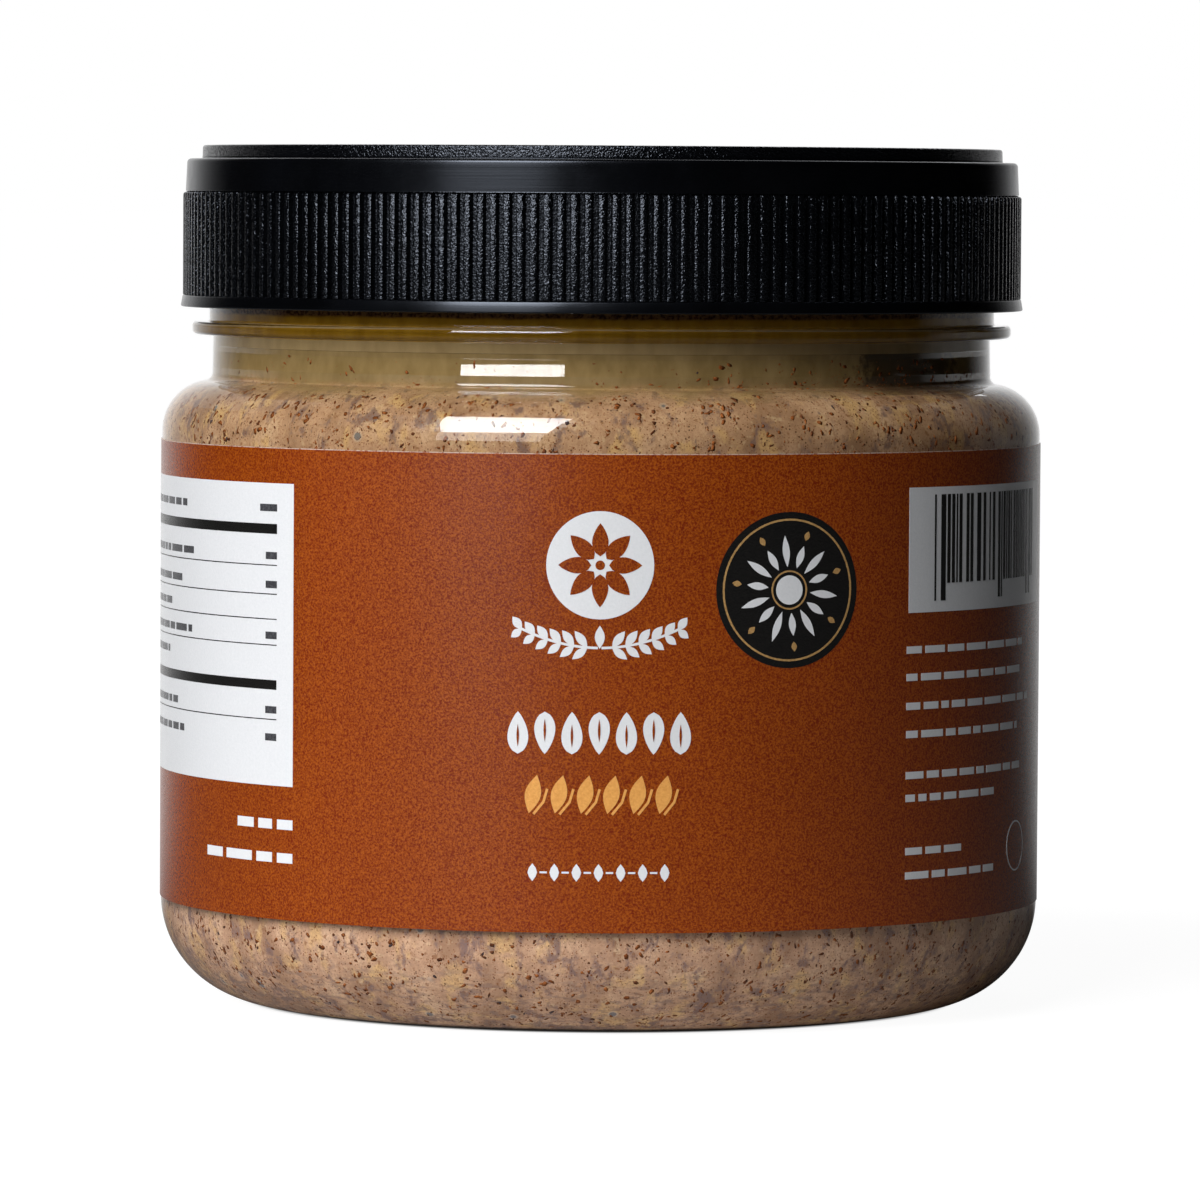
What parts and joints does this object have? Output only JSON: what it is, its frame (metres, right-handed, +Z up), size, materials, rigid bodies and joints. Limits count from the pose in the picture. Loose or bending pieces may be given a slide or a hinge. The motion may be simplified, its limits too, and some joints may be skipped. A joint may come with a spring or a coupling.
{
  "type": "nut butter jar",
  "caption": "Wide clear plastic jar with a black ribbed screw lid and a brown wrap label, filled with speckled almond butter under a layer of parted oil",
  "frame": {"origin": "middle of the standing ring, on the surface that the jar stands on", "axes": "+Z up along the jar's axis, -Y towards the front of the label, +X to the right of the front"},
  "size_m": [0.12, 0.12, 0.1161],
  "materials": {
    "clear_plastic": "clear and glossy, blow-moulded",
    "lid_plastic": "black, satin, upright ribs",
    "label_paper": "warm brown, satin",
    "almond_butter": "coarse beige paste with fine red-brown skin flecks",
    "almond_oil": "cloudy olive-gold oil"
  },
  "bodies": {
    "root": {"jar": "clear_plastic", "lid": "lid_plastic", "label": "label_paper", "butter": "almond_butter", "oil": "almond_oil"}
  },
  "joints": []
}
